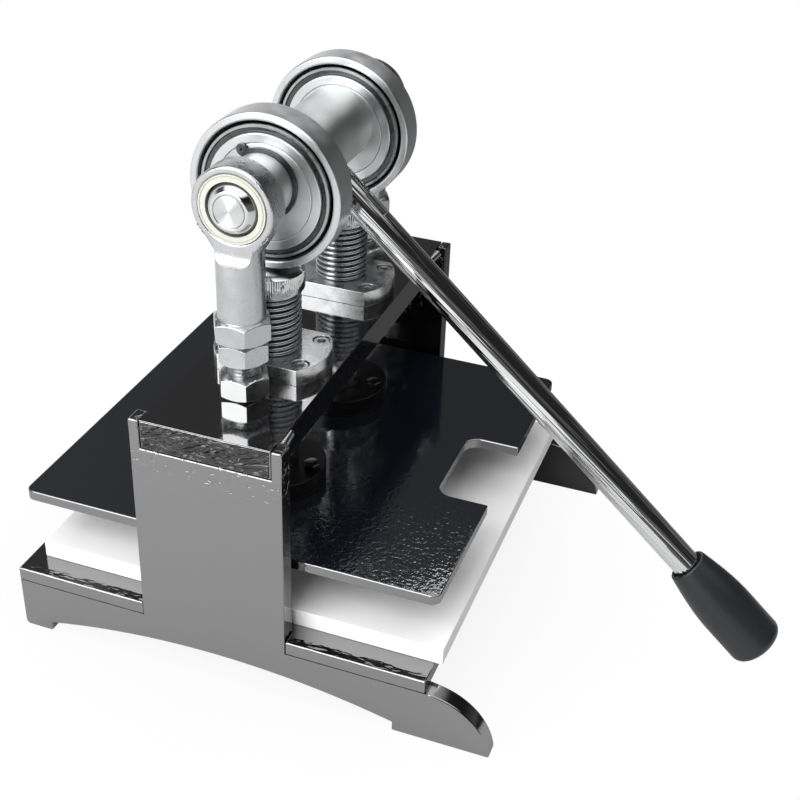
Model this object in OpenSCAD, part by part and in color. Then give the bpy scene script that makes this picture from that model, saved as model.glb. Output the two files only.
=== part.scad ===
// Manual die cutting machine: a welded bench frame, a platen on two sprung guide rods,
// and a lever shaft whose two eccentric ball bearings push the platen down.
// X runs along the shaft, -Y is the operator's side, +Z is up and z = 0 is the bench.
// Rest pose: the lever lies on the bench and both eccentrics point straight down.

/* [Frame] */
// Length of the frame over both end plates
frame_l = 256; // [220:1:320]
// Thickness of an end plate
plate_t = 10; // [8:0.5:14]
// Width of an upright, front to back
upright_w = 82; // [76:1:110]
// Height of the uprights and of the crossbar's top face
frame_h = 156; // [150:1:175]
// Width of the crossbar, front to back
crossbar_w = 70; // [66:1:74]
// Thickness of the crossbar
crossbar_t = 16; // [12:0.5:20]
// Depth of the base plate, front to back
base_d = 236; // [200:1:280]
// Thickness of the base plate
base_t = 8; // [6:0.5:12]
// Height of the foot shoulders that carry the base plate
foot_h = 31.5; // [28:0.5:40]
// Radius of the rounded toe at the front of each foot
toe_r = 36; // [33:1:50]
// Length of the rear foot pad
pad_l = 17; // [12:1:30]
// Height of the step between a foot pad and the arch
pad_h = 5.5; // [5:0.5:8]
// Height of the arch under an end plate at its crown
arch_h = 17; // [12:0.5:20]
// Radius of the small rounded corners of the end plates
plate_corner_r = 3; // [1:0.5:4]

/* [Cutting board] */
// Depth of the loose cutting board, front to back
board_d = 232; // [180:1:270]
// Thickness of the cutting board
board_t = 10; // [8:0.5:16]
// Distance that the board lies forward of the frame's middle
board_shift = 6; // [0:1:15]
// Free space between the board and each end plate
board_gap = 5; // [2:0.5:10]

/* [Platen] */
// Depth of the platen, front to back
platen_d = 236; // [200:1:280]
// Thickness of the platen
platen_t = 6; // [5:0.5:12]
// Height of the die space between the board and the platen at rest
die_gap = 27; // [20:0.5:32]
// Free space between the platen and each end plate
platen_gap = 4.5; // [2:0.5:10]
// Corner radius of the platen
platen_corner_r = 5; // [2:0.5:12]
// Width of the lever notch in the platen's front edge
notch_w = 60; // [40:1:80]
// Depth of the lever notch
notch_d = 30; // [22:1:40]
// Inner corner radius of the lever notch
notch_r = 9; // [4:0.5:14]

/* [Guides and return springs] */
// Distance between the two guide rods
guide_spacing = 94; // [86:1:100]
// Diameter of a guide rod
guide_d = 25; // [22:0.5:26]
// Outer diameter of the flanged bush's body
bush_d = 40; // [36:0.5:42]
// Length of the flanged bush
bush_l = 52; // [40:1:55]
// Diameter of the bush flange
bush_flange_d = 62; // [60:0.5:65]
// Distance between the two flats of the bush flange
bush_flats = 43; // [42:0.5:46]
// Thickness of the bush flange
bush_flange_t = 9; // [8:0.5:12]
// Bolt circle of the bush screws
bush_pcd = 51; // [50:0.5:52]
// Thread diameter of the bush screws
bush_screw_d = 5; // [4:0.5:6]
// Diameter of the round flange at the foot of a guide rod
foot_flange_d = 56; // [55:0.5:60]
// Thickness of the round flange at the foot of a guide rod
foot_flange_t = 10; // [6:0.5:11]
// Bolt circle of the foot flange bolts
foot_pcd = 44; // [43:0.5:45]
// Thread diameter of the foot flange bolts
foot_bolt_d = 5; // [4:0.5:6]
// Diameter of the thrust cap on a guide rod
cap_d = 33.5; // [33.5:0.5:38]
// Height of the thrust cap
cap_h = 12.5; // [10:0.5:15]
// Wire diameter of a return spring
spring_wire_d = 2.1; // [1.8:0.1:2.4]
// Number of turns of a return spring
spring_turns = 9; // [6:1:9]

/* [Eccentric shaft] */
// Offset of the eccentrics from the shaft axis
eccentricity = 5; // [3:0.25:5]
// Diameter of the shaft between the bearings
shaft_mid_d = 40; // [36:0.5:40]
// Diameter of the shaft seats that carry the eccentrics
shaft_seat_d = 32; // [28:0.5:34]
// Outer diameter of an eccentric, which is the bearing's bore
eccentric_d = 50; // [50:0.5:52]
// Outer diameter of a ball bearing
bearing_od = 80; // [78:0.5:84]
// Width of a ball bearing
bearing_w = 16; // [14:0.5:20]
// Number of balls in a bearing
ball_count = 13; // [8:1:14]

/* [Rod ends] */
// Distance between the two rod ends along the shaft
rod_end_spacing = 165; // [160:1:180]
// Bore of a rod end, which is the shaft's journal diameter
journal_d = 16; // [12:0.5:18]
// Outer diameter of a rod end's eye
eye_d = 42; // [40:0.5:46]
// Width of a rod end's eye
eye_w = 15; // [13:0.5:17]
// Diameter of a rod end's ball
joint_ball_d = 28.6; // [27:0.1:30]
// Width of a rod end's ball
joint_ball_w = 21; // [20:0.5:22]
// Outer diameter of a rod end's liner
liner_d = 34.5; // [33:0.5:36]
// Diameter of a rod end's shank
shank_d = 24; // [22:0.5:26]
// Distance from the eye's centre to the foot of the rod end
rod_end_h = 70.5; // [66:0.5:84]
// Width across flats of a rod end's hexagon
collar_af = 27; // [25:0.5:30]
// Height of a rod end's hexagon
collar_h = 12.5; // [8:0.5:16]
// Thread diameter of the anchor bolts
anchor_d = 16; // [12:0.5:18]
// Width across flats of the anchor nuts and bolt heads
anchor_af = 24; // [22:0.5:27]
// Height of the jam nut under a rod end
jam_nut_h = 12; // [8:0.5:13]
// Height of the seat nut on the crossbar
seat_nut_h = 12; // [10:0.5:16]
// Bare thread between the two nuts
thread_gap = 7; // [1:0.5:12]

/* [Lever] */
// Distance from the shaft axis to the tip of the grip
lever_reach = 371; // [330:1:420]
// Diameter of the lever rod
lever_d = 16; // [14:0.5:18]
// Length of the grip
grip_l = 66; // [50:1:110]
// Diameter of the grip at its tip end
grip_d = 31; // [26:0.5:36]
// Diameter of the grip at the rod end
grip_neck_d = 22; // [20:0.5:25]
// Radius of the grip's rounded tip edge
grip_round = 5; // [3:0.5:8]
// Radius of the grip's domed end
grip_end_r = 24; // [18:0.5:40]

/* [Hidden] */
$fn = 72;
eps = 0.01;

// Clearances
weld_gap = 0.3;
running_gap = 0.05;
bolt_gap = 0.2;
seat_gap = 0.02;
// How far a hole runs on past the end of its screw, and a cut past the face that it cuts
drill_over = 1;
cut_over = 1;
// Free play between a cap and its bearing at rest, so that a platen which rises evenly
// with the lever's turn never meets the eccentric's own curve
cam_slope = 0.6;
cam_spare = 0.12;
cam_gap = eccentricity * (cam_slope * asin(cam_slope) * PI / 180 + sqrt(1 - pow(cam_slope, 2)) - 1) + cam_spare;

// Heights
base_top = foot_h + base_t;
board_top = base_top + board_t;
platen_z = board_top + die_gap;
platen_top = platen_z + platen_t;
bar_z = frame_h - crossbar_t;
bush_top = frame_h + bush_flange_t;
rod_end_z = frame_h + seat_nut_h + thread_gap + jam_nut_h;
axis_z = rod_end_z + rod_end_h;
bearing_z = axis_z - eccentricity;
cap_top = bearing_z - bearing_od / 2 - cam_gap;
cap_z = cap_top - cap_h;

// Places along the shaft
half_l = frame_l / 2;
inner_x = half_l - plate_t;
board_l = 2 * (inner_x - board_gap);
platen_l = 2 * (inner_x - platen_gap);
guide_x = guide_spacing / 2;
rod_end_x = rod_end_spacing / 2;
shaft_half_l = rod_end_x + joint_ball_w / 2;
seat_in_x = guide_x - bearing_w / 2;
seat_out_x = guide_x + bearing_w / 2;
boss_end_x = rod_end_x - joint_ball_w / 2 - running_gap;

// Guide details
cap_bore_depth = cap_h / 2;
cap_chamfer = 1.2;
screw_head_d = 1.7 * bush_screw_d;
screw_head_h = bush_screw_d;
screw_sink = 0.6;
screw_l = bush_flange_t - screw_head_h - screw_sink + 2 * bush_screw_d;
screw_angle = 57;
foot_bolt_head_h = 0.7 * foot_bolt_d;
foot_bolt_af = 1.67 * foot_bolt_d;
foot_bolt_skin = 0.5;

// Return spring: the wire's centre line stands clear of the guide rod at the middle of each chord
rings_per_turn = 8;
wire_sides = 6;
spring_clear = 0.15;
spring_r = (guide_d / 2 + spring_clear + spring_wire_d / 2) / cos(180 / rings_per_turn);
spring_z = bush_top + seat_gap;
spring_l = cap_z - seat_gap - spring_z;
coil_l = spring_l - 2 * spring_wire_d;
coil_rings = rings_per_turn * spring_turns;

// Bearing details
ring_wall = (bearing_od - eccentric_d) / 2;
pitch_r = (bearing_od + eccentric_d) / 4;
bearing_ball_d = 0.56 * ring_wall;
inner_ring_r = pitch_r - 0.17 * ring_wall;
outer_ring_r = pitch_r + 0.17 * ring_wall;
shield_t = 0.6;
shield_sink = 0.7;
shield_lip = 1.2;
cage_t = 1.2;
cage_w = 1.25 * bearing_ball_d;
ring_chamfer = 1;

// Circlip details
clip_t = 1.5;
clip_w = 3.4;
clip_groove = 1.2;
clip_ear = 3;
clip_open = 24;
clip_turn = 130;

// Share of a hexagon's width that is left as a flat face on its turned ends
hex_face = 0.92;

// Rod end details
neck_z = 22;
scallop_r = 6.5;
thread_depth = 33;
anchor_end_gap = 4;
anchor_head_h = 10;

// Lever: the grip's rounded tip edge rests on the bench, which sets the angle below the horizontal
bench_gap = 0.2;
tip_aside = grip_d / 2 - grip_round;
tip_inset = grip_end_r - sqrt(pow(grip_end_r - grip_round, 2) - pow(tip_aside, 2));
tip_along = lever_reach - tip_inset;
tip_drop = axis_z - grip_round - bench_gap;
lever_angle = asin(tip_drop / norm([tip_along, tip_aside])) - atan2(tip_aside, tip_along);
root_sink = 12;
root_thread_d = 12;
root_thread_l = 18;
flat_start = 38;
flat_l = 14;
flat_af = 14;
grip_z = lever_reach - grip_l;
grip_swell_l = 36;
grip_end_wall = 20;
grip_bore_depth = grip_l - grip_end_wall;
grip_recess = 2;
grip_mouth_gap = 1.5;

// The middle of the whole part, front to back, is the origin
rear_y = max(base_d / 2, platen_d / 2, board_d / 2 - board_shift);
front_y = tip_along * cos(lever_angle) + tip_aside * sin(lever_angle) + grip_round;
origin_y = (front_y - rear_y) / 2;

// Shifts a piece from the uprights' middle line to the part's own origin
module place() {
    translate([0, origin_y, 0]) children();
}

// Turns a shape drawn along Z so that it lies along X
module along_x() {
    rotate([0, 90, 0]) children();
}

// Turns a shape drawn along Z so that it lies along the lever, outwards from the shaft axis
module along_lever() {
    translate([0, 0, axis_z]) rotate([90 + lever_angle, 0, 0]) children();
}

// A rectangle in the XY plane with rounded corners
module rounded_rect(l, d, r) {
    square([l - 2 * r, d], center = true);
    square([l, d - 2 * r], center = true);
    for (sx = [-1, 1], sy = [-1, 1])
        translate([sx * (l / 2 - r), sy * (d / 2 - r)]) circle(r = r);
}

// A ring drawn along Z from z = 0
module ring(d, bore, h) {
    difference() {
        cylinder(d = d, h = h);
        translate([0, 0, -eps]) cylinder(d = bore, h = h + 2 * eps);
    }
}

// A hexagonal bar with both end edges turned off at 30 degrees, flats facing X
module hexagon(af, h) {
    face_r = hex_face * af / 2;
    corner_r = af / 2 / cos(30);
    turn_h = (corner_r - face_r) * tan(30);
    intersection() {
        rotate([0, 0, 30]) cylinder(r = corner_r, h = h, $fn = 6);
        rotate_extrude()
            polygon([[0, 0], [face_r, 0], [corner_r, turn_h], [corner_r, h - turn_h], [face_r, h], [0, h]]);
    }
}

// Outline of an end plate: upright, foot with rounded toe, pads and arch
module end_plate_outline() {
    toe_y = base_d / 2;
    arch_half = toe_y - pad_l;
    arch_rise = arch_h - pad_h;
    arch_r = (pow(arch_half, 2) + pow(arch_rise, 2)) / (2 * arch_rise);
    difference() {
        union() {
            translate([-upright_w / 2, 0]) square([upright_w, frame_h]);
            translate([-toe_y, 0]) square([2 * toe_y - plate_corner_r, foot_h]);
            translate([0, plate_corner_r]) square([toe_y, foot_h - plate_corner_r]);
            translate([toe_y - plate_corner_r, plate_corner_r]) circle(r = plate_corner_r);
            intersection() {
                translate([-toe_y, foot_h - toe_r]) circle(r = toe_r);
                translate([-toe_y - toe_r, 0]) square([toe_r, foot_h]);
            }
        }
        translate([-arch_half, -eps]) square([2 * arch_half, pad_h + eps]);
        intersection() {
            translate([0, arch_h - arch_r]) circle(r = arch_r, $fn = 360);
            translate([-arch_half, 0]) square([2 * arch_half, arch_h]);
        }
        translate([-crossbar_w / 2 - weld_gap, bar_z - weld_gap])
            square([crossbar_w + 2 * weld_gap, crossbar_t + weld_gap + eps]);
    }
}

// side is -1 for the left end plate and 1 for the right one
module end_plate(side) {
    color("#26272a")
        translate([side * (half_l - plate_t / 2) - plate_t / 2, 0, 0])
            rotate([90, 0, 90]) linear_extrude(plate_t) end_plate_outline();
}

// Flat bar between the end plates, its ends flush with their outer faces
module crossbar() {
    color("#1c1d20")
        difference() {
            translate([-half_l, -crossbar_w / 2, bar_z]) cube([frame_l, crossbar_w, crossbar_t]);
            for (side = [-1, 1]) {
                translate([side * guide_x, 0, bar_z - eps])
                    cylinder(d = bush_d + 2 * running_gap, h = crossbar_t + 2 * eps);
                translate([side * rod_end_x, 0, bar_z - eps])
                    cylinder(d = anchor_d + 2 * bolt_gap, h = crossbar_t + 2 * eps);
                at_bush_screws(side)
                    translate([0, 0, screw_seat_z() - screw_l - drill_over])
                        cylinder(d = bush_screw_d + 2 * running_gap, h = screw_l);
            }
        }
}

// Plate on the foot shoulders, notched round both uprights
module base_plate() {
    notch_x = plate_t + weld_gap;
    notch_y = upright_w + 2 * weld_gap;
    color("#232427")
        difference() {
            translate([-half_l, -base_d / 2, foot_h]) cube([frame_l, base_d, base_t]);
            for (side = [-1, 1])
                translate([side * half_l - notch_x, -notch_y / 2, foot_h - eps])
                    cube([2 * notch_x, notch_y, base_t + 2 * eps]);
        }
}

// Loose plastic cutting board on the base plate
module cutting_board() {
    color("#ececec")
        translate([-board_l / 2, -board_d / 2 - board_shift, base_top])
            cube([board_l, board_d, board_t]);
}

// Pressure plate with the lever notch and the threaded holes for the foot flanges
module platen() {
    color("#1b1c20")
        difference() {
            translate([0, 0, platen_z])
                linear_extrude(platen_t)
                    difference() {
                        rounded_rect(platen_l, platen_d, platen_corner_r);
                        translate([0, -platen_d / 2]) rounded_rect(notch_w, 2 * notch_d, notch_r);
                    }
            for (side = [-1, 1])
                at_foot_bolts(side)
                    translate([0, 0, platen_z + foot_bolt_skin])
                        cylinder(d = foot_bolt_d + 2 * running_gap, h = platen_t);
        }
}

// Height of the seat under the bush screws' heads
function screw_seat_z() = bush_top - screw_sink - screw_head_h;

// The four screw places of one bush flange
module at_bush_screws(side) {
    for (sx = [-1, 1], sy = [-1, 1])
        translate([side * guide_x + sx * bush_pcd / 2 * cos(screw_angle), sy * bush_pcd / 2 * sin(screw_angle), 0])
            children();
}

// The four bolt places of one foot flange
module at_foot_bolts(side) {
    for (turn = [0 : 90 : 270])
        translate([side * guide_x + foot_pcd / 2 * cos(turn), foot_pcd / 2 * sin(turn), 0])
            children();
}

// Flanged guide bush in the crossbar, its flange cut flat on the two sides that face along X
module guide_bush(side) {
    color("#8c8e91")
        difference() {
            translate([side * guide_x, 0, 0]) {
                translate([0, 0, bush_top - bush_l]) cylinder(d = bush_d, h = bush_l);
                intersection() {
                    translate([0, 0, frame_h]) cylinder(d = bush_flange_d, h = bush_flange_t);
                    translate([-bush_flats / 2, -bush_flange_d, frame_h])
                        cube([bush_flats, 2 * bush_flange_d, bush_flange_t]);
                }
            }
            translate([side * guide_x, 0, bush_top - bush_l - eps])
                cylinder(d = guide_d + 2 * running_gap, h = bush_l + 2 * eps);
            at_bush_screws(side) {
                translate([0, 0, frame_h - eps]) cylinder(d = bush_screw_d + 2 * bolt_gap, h = bush_flange_t);
                translate([0, 0, screw_seat_z()]) cylinder(d = screw_head_d + 4 * bolt_gap, h = bush_flange_t);
            }
        }
}

// Socket head screws that hold both bush flanges
module bush_screws() {
    socket_af = 0.8 * bush_screw_d;
    socket_depth = 0.55 * screw_head_h;
    color("#b9bbbd")
        for (side = [-1, 1])
            at_bush_screws(side)
                translate([0, 0, screw_seat_z()])
                    difference() {
                        union() {
                            cylinder(d = screw_head_d, h = screw_head_h);
                            translate([0, 0, -screw_l]) cylinder(d = bush_screw_d, h = screw_l + eps);
                        }
                        translate([0, 0, screw_head_h - socket_depth])
                            cylinder(d = socket_af / cos(30), h = socket_depth + eps, $fn = 6);
                    }
}

// Guide rod from the platen's top face up into its thrust cap
module guide_rod(side) {
    color("#c9cbcd")
        translate([side * guide_x, 0, platen_top])
            cylinder(d = guide_d, h = cap_z + cap_bore_depth - platen_top);
}

// Round flange that ties a guide rod's foot to the platen
module foot_flange(side) {
    color("#222326")
        difference() {
            translate([side * guide_x, 0, platen_top]) cylinder(d = foot_flange_d, h = foot_flange_t);
            translate([side * guide_x, 0, platen_top - eps])
                cylinder(d = guide_d + 2 * running_gap, h = foot_flange_t + 2 * eps);
            at_foot_bolts(side)
                translate([0, 0, platen_top - eps])
                    cylinder(d = foot_bolt_d + 2 * bolt_gap, h = foot_flange_t + 2 * eps);
        }
}

// Hexagon bolts that hold both foot flanges on the platen
module flange_bolts() {
    shank_l = foot_flange_t + platen_t - foot_bolt_skin - running_gap;
    color("#2b2c2f")
        for (side = [-1, 1])
            at_foot_bolts(side)
                translate([0, 0, platen_top + foot_flange_t]) {
                    hexagon(foot_bolt_af, foot_bolt_head_h);
                    translate([0, 0, -shank_l]) cylinder(d = foot_bolt_d, h = shank_l + eps);
                }
}

// Hardened cap on a guide rod, pressed by the bearing above it
module thrust_cap(side) {
    color("#b8babc")
        translate([side * guide_x, 0, cap_z])
            difference() {
                union() {
                    cylinder(d = cap_d, h = cap_h - cap_chamfer);
                    translate([0, 0, cap_h - cap_chamfer])
                        cylinder(d1 = cap_d, d2 = cap_d - 2 * cap_chamfer, h = cap_chamfer);
                }
                translate([0, 0, -eps]) cylinder(d = guide_d + 2 * running_gap, h = cap_bore_depth + eps);
            }
}

// Centre line of a return spring: a straight end square to the bush flange, the turns,
// and a straight end square to the cap
function coil_point(i) =
    let (turn = 360 * i / rings_per_turn)
    [spring_r * cos(turn), spring_r * sin(turn), spring_wire_d + coil_l * i / coil_rings];
spring_path = concat(
    [[spring_r, 0, 0]],
    [for (i = [0 : coil_rings]) coil_point(i)],
    [[spring_r * cos(360 * spring_turns), spring_r * sin(360 * spring_turns), spring_l]]
);
spring_last = len(spring_path) - 1;
function unit(v) = v / norm(v);
function step_in(i) = unit(spring_path[max(i, 1)] - spring_path[max(i, 1) - 1]);
function step_out(i) = unit(spring_path[min(i, spring_last - 1) + 1] - spring_path[min(i, spring_last - 1)]);
function outward(i) = unit([spring_path[i].x, spring_path[i].y, 0]);
// One ring of the wire, widened where the line bends so that the wire keeps its thickness
function wire_ring(i) =
    let (
        tangent = unit(step_in(i) + step_out(i)),
        across = outward(i),
        up = unit(cross(tangent, across)),
        is_corner = i == 1 || i == spring_last - 1,
        widen = is_corner ? 1 / cos(45) : 1
    )
    [for (k = [0 : wire_sides - 1])
        let (a = 360 * k / wire_sides)
        spring_path[i] + spring_wire_d / 2 * (across * cos(a) + up * widen * sin(a))];
// Least clear distance between two turns, measured between ring centres of different turns
spring_self_gap = min([
    for (i = [1 : spring_last - rings_per_turn], j = [i + rings_per_turn / 2 : i + rings_per_turn])
        if (j < spring_last) norm(spring_path[i] - spring_path[j]) - spring_wire_d
]);
echo("least gap between spring turns in mm", spring_self_gap);

// Open coil compression spring between a bush flange and a cap
module return_spring(side) {
    points = [for (i = [0 : spring_last]) each wire_ring(i)];
    near_end = [for (k = [1 : wire_sides - 2]) [0, k, k + 1]];
    far_start = spring_last * wire_sides;
    far_end = [for (k = [1 : wire_sides - 2]) [far_start, far_start + k + 1, far_start + k]];
    sides = [
        for (i = [0 : spring_last - 1], k = [0 : wire_sides - 1])
            let (
                a = i * wire_sides + k,
                b = i * wire_sides + (k + 1) % wire_sides
            )
            each [[a, a + wire_sides, b + wire_sides], [a, b + wire_sides, b]]
    ];
    color("#77797c")
        translate([side * guide_x, 0, spring_z])
            polyhedron(points = points, faces = concat(near_end, sides, far_end), convexity = 10);
}

// Lever shaft: journals in the rod ends, seats for the eccentrics, a thick middle for the lever
module main_shaft() {
    groove_d = shaft_seat_d - 2 * clip_groove;
    color("#bfc1c3")
        difference() {
            translate([0, 0, axis_z]) along_x() {
                translate([0, 0, -shaft_half_l]) cylinder(d = journal_d, h = 2 * shaft_half_l);
                translate([0, 0, -boss_end_x]) cylinder(d = shaft_seat_d, h = 2 * boss_end_x);
                translate([0, 0, -seat_in_x]) cylinder(d = shaft_mid_d, h = 2 * seat_in_x);
            }
            for (side = [-1, 1])
                translate([side * (seat_out_x + clip_t / 2), 0, axis_z])
                    along_x()
                        translate([0, 0, -clip_t / 2 - running_gap])
                            ring(shaft_seat_d + 2 * cut_over, groove_d, clip_t + 2 * running_gap);
            along_lever() {
                translate([0, 0, shaft_mid_d / 2 - root_sink]) cylinder(d = lever_d + 2 * running_gap, h = shaft_mid_d);
                translate([0, 0, shaft_mid_d / 2 - root_sink - root_thread_l])
                    cylinder(d = root_thread_d + 2 * running_gap, h = root_thread_l + eps);
            }
        }
}

// Eccentric sleeve between a bearing and the shaft, against the shoulder of the thick middle
module eccentric(side) {
    color("#cfd2cf")
        difference() {
            translate([side * guide_x, 0, bearing_z])
                along_x() translate([0, 0, -bearing_w / 2]) cylinder(d = eccentric_d - 2 * seat_gap, h = bearing_w);
            translate([side * guide_x, 0, axis_z])
                along_x() cylinder(d = shaft_seat_d + 2 * seat_gap, h = 2 * bearing_w, center = true);
        }
}

// Places a bearing piece, drawn along Z about its middle, on the eccentric's axis
module on_eccentric(side) {
    translate([side * guide_x, 0, bearing_z]) along_x() children();
}

// The ball track that is cut into both bearing rings
module ball_track() {
    rotate_extrude() translate([pitch_r, 0]) circle(d = bearing_ball_d + 2 * running_gap);
}

// Inner ring of a bearing
module bearing_inner(side) {
    color("#c6c8ca")
        on_eccentric(side)
            difference() {
                translate([0, 0, -bearing_w / 2]) ring(2 * inner_ring_r, eccentric_d, bearing_w);
                ball_track();
            }
}

// Outer ring of a bearing, turned off at its outer edges and stepped for the shields
module bearing_outer(side) {
    shield_seat_r = outer_ring_r + shield_lip;
    rim_r = bearing_od / 2;
    step_z = bearing_w / 2 - shield_sink - shield_t;
    color("#d3d5d7")
        on_eccentric(side)
            difference() {
                rotate_extrude()
                    polygon([
                        [outer_ring_r, -step_z],
                        [shield_seat_r, -step_z],
                        [shield_seat_r, -bearing_w / 2],
                        [rim_r - ring_chamfer, -bearing_w / 2],
                        [rim_r, -bearing_w / 2 + ring_chamfer],
                        [rim_r, bearing_w / 2 - ring_chamfer],
                        [rim_r - ring_chamfer, bearing_w / 2],
                        [shield_seat_r, bearing_w / 2],
                        [shield_seat_r, step_z],
                        [outer_ring_r, step_z]
                    ]);
                ball_track();
            }
}

// Pressed steel shields on both sides of a bearing
module bearing_shields(side) {
    shield_r = outer_ring_r + shield_lip - running_gap;
    step_z = bearing_w / 2 - shield_sink - shield_t;
    color("#8b8d90")
        on_eccentric(side)
            for (face = [-1, 1])
                translate([0, 0, face * (step_z + shield_t / 2) - shield_t / 2])
                    ring(2 * shield_r, 2 * (inner_ring_r + 3 * running_gap), shield_t);
}

// Balls of a bearing
module bearing_balls(side) {
    color("#d9dadc")
        on_eccentric(side)
            for (i = [0 : ball_count - 1])
                rotate([0, 0, 360 * i / ball_count]) translate([pitch_r, 0, 0]) sphere(d = bearing_ball_d);
}

// Cage that spaces the balls
module bearing_cage(side) {
    color("#9a9c9f")
        on_eccentric(side)
            difference() {
                translate([0, 0, -cage_w / 2]) ring(2 * pitch_r + cage_t, 2 * pitch_r - cage_t, cage_w);
                for (i = [0 : ball_count - 1])
                    rotate([0, 90, 360 * i / ball_count])
                        translate([0, 0, pitch_r - cage_t])
                            cylinder(d = bearing_ball_d + 4 * running_gap, h = 2 * cage_t);
            }
}

// Spring ring in the shaft groove that keeps an eccentric on its seat
module circlip(side) {
    inner_r = shaft_seat_d / 2 - clip_groove + running_gap;
    outer_r = inner_r + clip_w;
    open_half = outer_r * tan(clip_open / 2);
    color("#6e7073")
        translate([side * (seat_out_x + clip_t / 2), 0, axis_z])
            rotate([clip_turn, 0, 0])
                along_x()
                    translate([0, 0, -clip_t / 2 + seat_gap])
                        difference() {
                            union() {
                                ring(2 * outer_r, 2 * inner_r, clip_t - 2 * seat_gap);
                                for (ear = [-1, 1])
                                    translate([outer_r, ear * (open_half + clip_ear / 2), 0])
                                        ring(2 * clip_ear, clip_ear / 2, clip_t - 2 * seat_gap);
                            }
                            translate([0, -open_half + clip_ear / 2, -eps])
                                cube([2 * outer_r, 2 * open_half - clip_ear, 2 * clip_t]);
                        }
}

// Ball of a rod end, fast on the shaft's journal
module rod_end_ball(side) {
    color("#d0d1d2")
        translate([side * rod_end_x, 0, axis_z])
            along_x()
                difference() {
                    intersection() {
                        sphere(d = joint_ball_d);
                        cylinder(d = joint_ball_d, h = joint_ball_w, center = true);
                    }
                    cylinder(d = journal_d + 2 * seat_gap, h = 2 * joint_ball_w, center = true);
                }
}

// Bearing liner between a rod end's eye and its ball
module rod_end_liner(side) {
    color("#d8d3bd")
        translate([side * rod_end_x, 0, axis_z])
            along_x()
                difference() {
                    cylinder(d = liner_d, h = eye_w, center = true);
                    sphere(d = joint_ball_d + 2 * running_gap);
                }
}

// Rod end: an eye on a round shank with a hexagon foot that is tapped for the anchor bolt
module rod_end(side) {
    eye_r = eye_d / 2;
    neck = [shank_d / 2, -neck_z];
    neck_turn = atan2(neck.y, neck.x) + acos(eye_r / norm(neck));
    shoulder = [eye_r * cos(neck_turn), eye_r * sin(neck_turn)];
    color("#c4c6c8")
        translate([side * rod_end_x, 0, axis_z])
            difference() {
                union() {
                    along_x() cylinder(d = eye_d, h = eye_w, center = true);
                    intersection() {
                        translate([-eye_w / 2, 0, 0])
                            rotate([90, 0, 90])
                                linear_extrude(eye_w)
                                    polygon([
                                        [-shoulder.x, shoulder.y],
                                        [-neck.x, neck.y],
                                        neck,
                                        shoulder
                                    ]);
                        translate([0, 0, neck.y])
                            cylinder(r1 = neck.x, r2 = norm([eye_w / 2, shoulder.x]), h = shoulder.y - neck.y);
                    }
                    difference() {
                        translate([0, 0, -rod_end_h + collar_h / 2])
                            cylinder(d = shank_d, h = rod_end_h - collar_h / 2 - neck_z);
                        for (face = [-1, 1])
                            translate([face * (eye_w / 2 + scallop_r), 0, -neck_z])
                                rotate([90, 0, 0]) cylinder(r = scallop_r, h = 2 * shank_d, center = true);
                    }
                    translate([0, 0, -rod_end_h]) hexagon(collar_af, collar_h);
                }
                along_x() cylinder(d = liner_d + 2 * seat_gap, h = 2 * eye_w, center = true);
                translate([0, 0, -rod_end_h - eps])
                    cylinder(d = anchor_d + 2 * running_gap, h = thread_depth);
            }
}

// A nut drawn from z = 0
module nut(h) {
    difference() {
        hexagon(anchor_af, h);
        translate([0, 0, -eps]) cylinder(d = anchor_d + 2 * running_gap, h = h + 2 * eps);
    }
}

// Nut that locks a rod end on its anchor bolt
module jam_nut(side) {
    color("#cdcfd0")
        translate([side * rod_end_x, 0, rod_end_z - jam_nut_h]) nut(jam_nut_h);
}

// Nut that clamps an anchor bolt to the crossbar
module seat_nut(side) {
    color("#e0e1e2")
        translate([side * rod_end_x, 0, frame_h]) nut(seat_nut_h);
}

// Bolt that stands up through the crossbar and carries a rod end
module anchor_bolt(side) {
    color("#b9bbbd")
        translate([side * rod_end_x, 0, bar_z]) {
            translate([0, 0, -anchor_head_h]) hexagon(anchor_af, anchor_head_h);
            translate([0, 0, -eps])
                cylinder(d = anchor_d, h = rod_end_z + thread_depth - anchor_end_gap - bar_z + eps);
        }
}

// Lever rod with wrench flats near its root, screwed into the shaft
module lever_rod() {
    root = shaft_mid_d / 2 - root_sink + running_gap;
    color("#d5d7d9")
        along_lever()
            difference() {
                union() {
                    translate([0, 0, root]) cylinder(d = lever_d, h = grip_z + grip_bore_depth - running_gap - root);
                    translate([0, 0, root - root_thread_l + drill_over]) cylinder(d = root_thread_d, h = root_thread_l);
                }
                for (face = [-1, 1])
                    translate([-lever_d, face * (flat_af / 2 + lever_d) - lever_d, flat_start])
                        cube([2 * lever_d, 2 * lever_d, flat_l]);
            }
}

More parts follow.
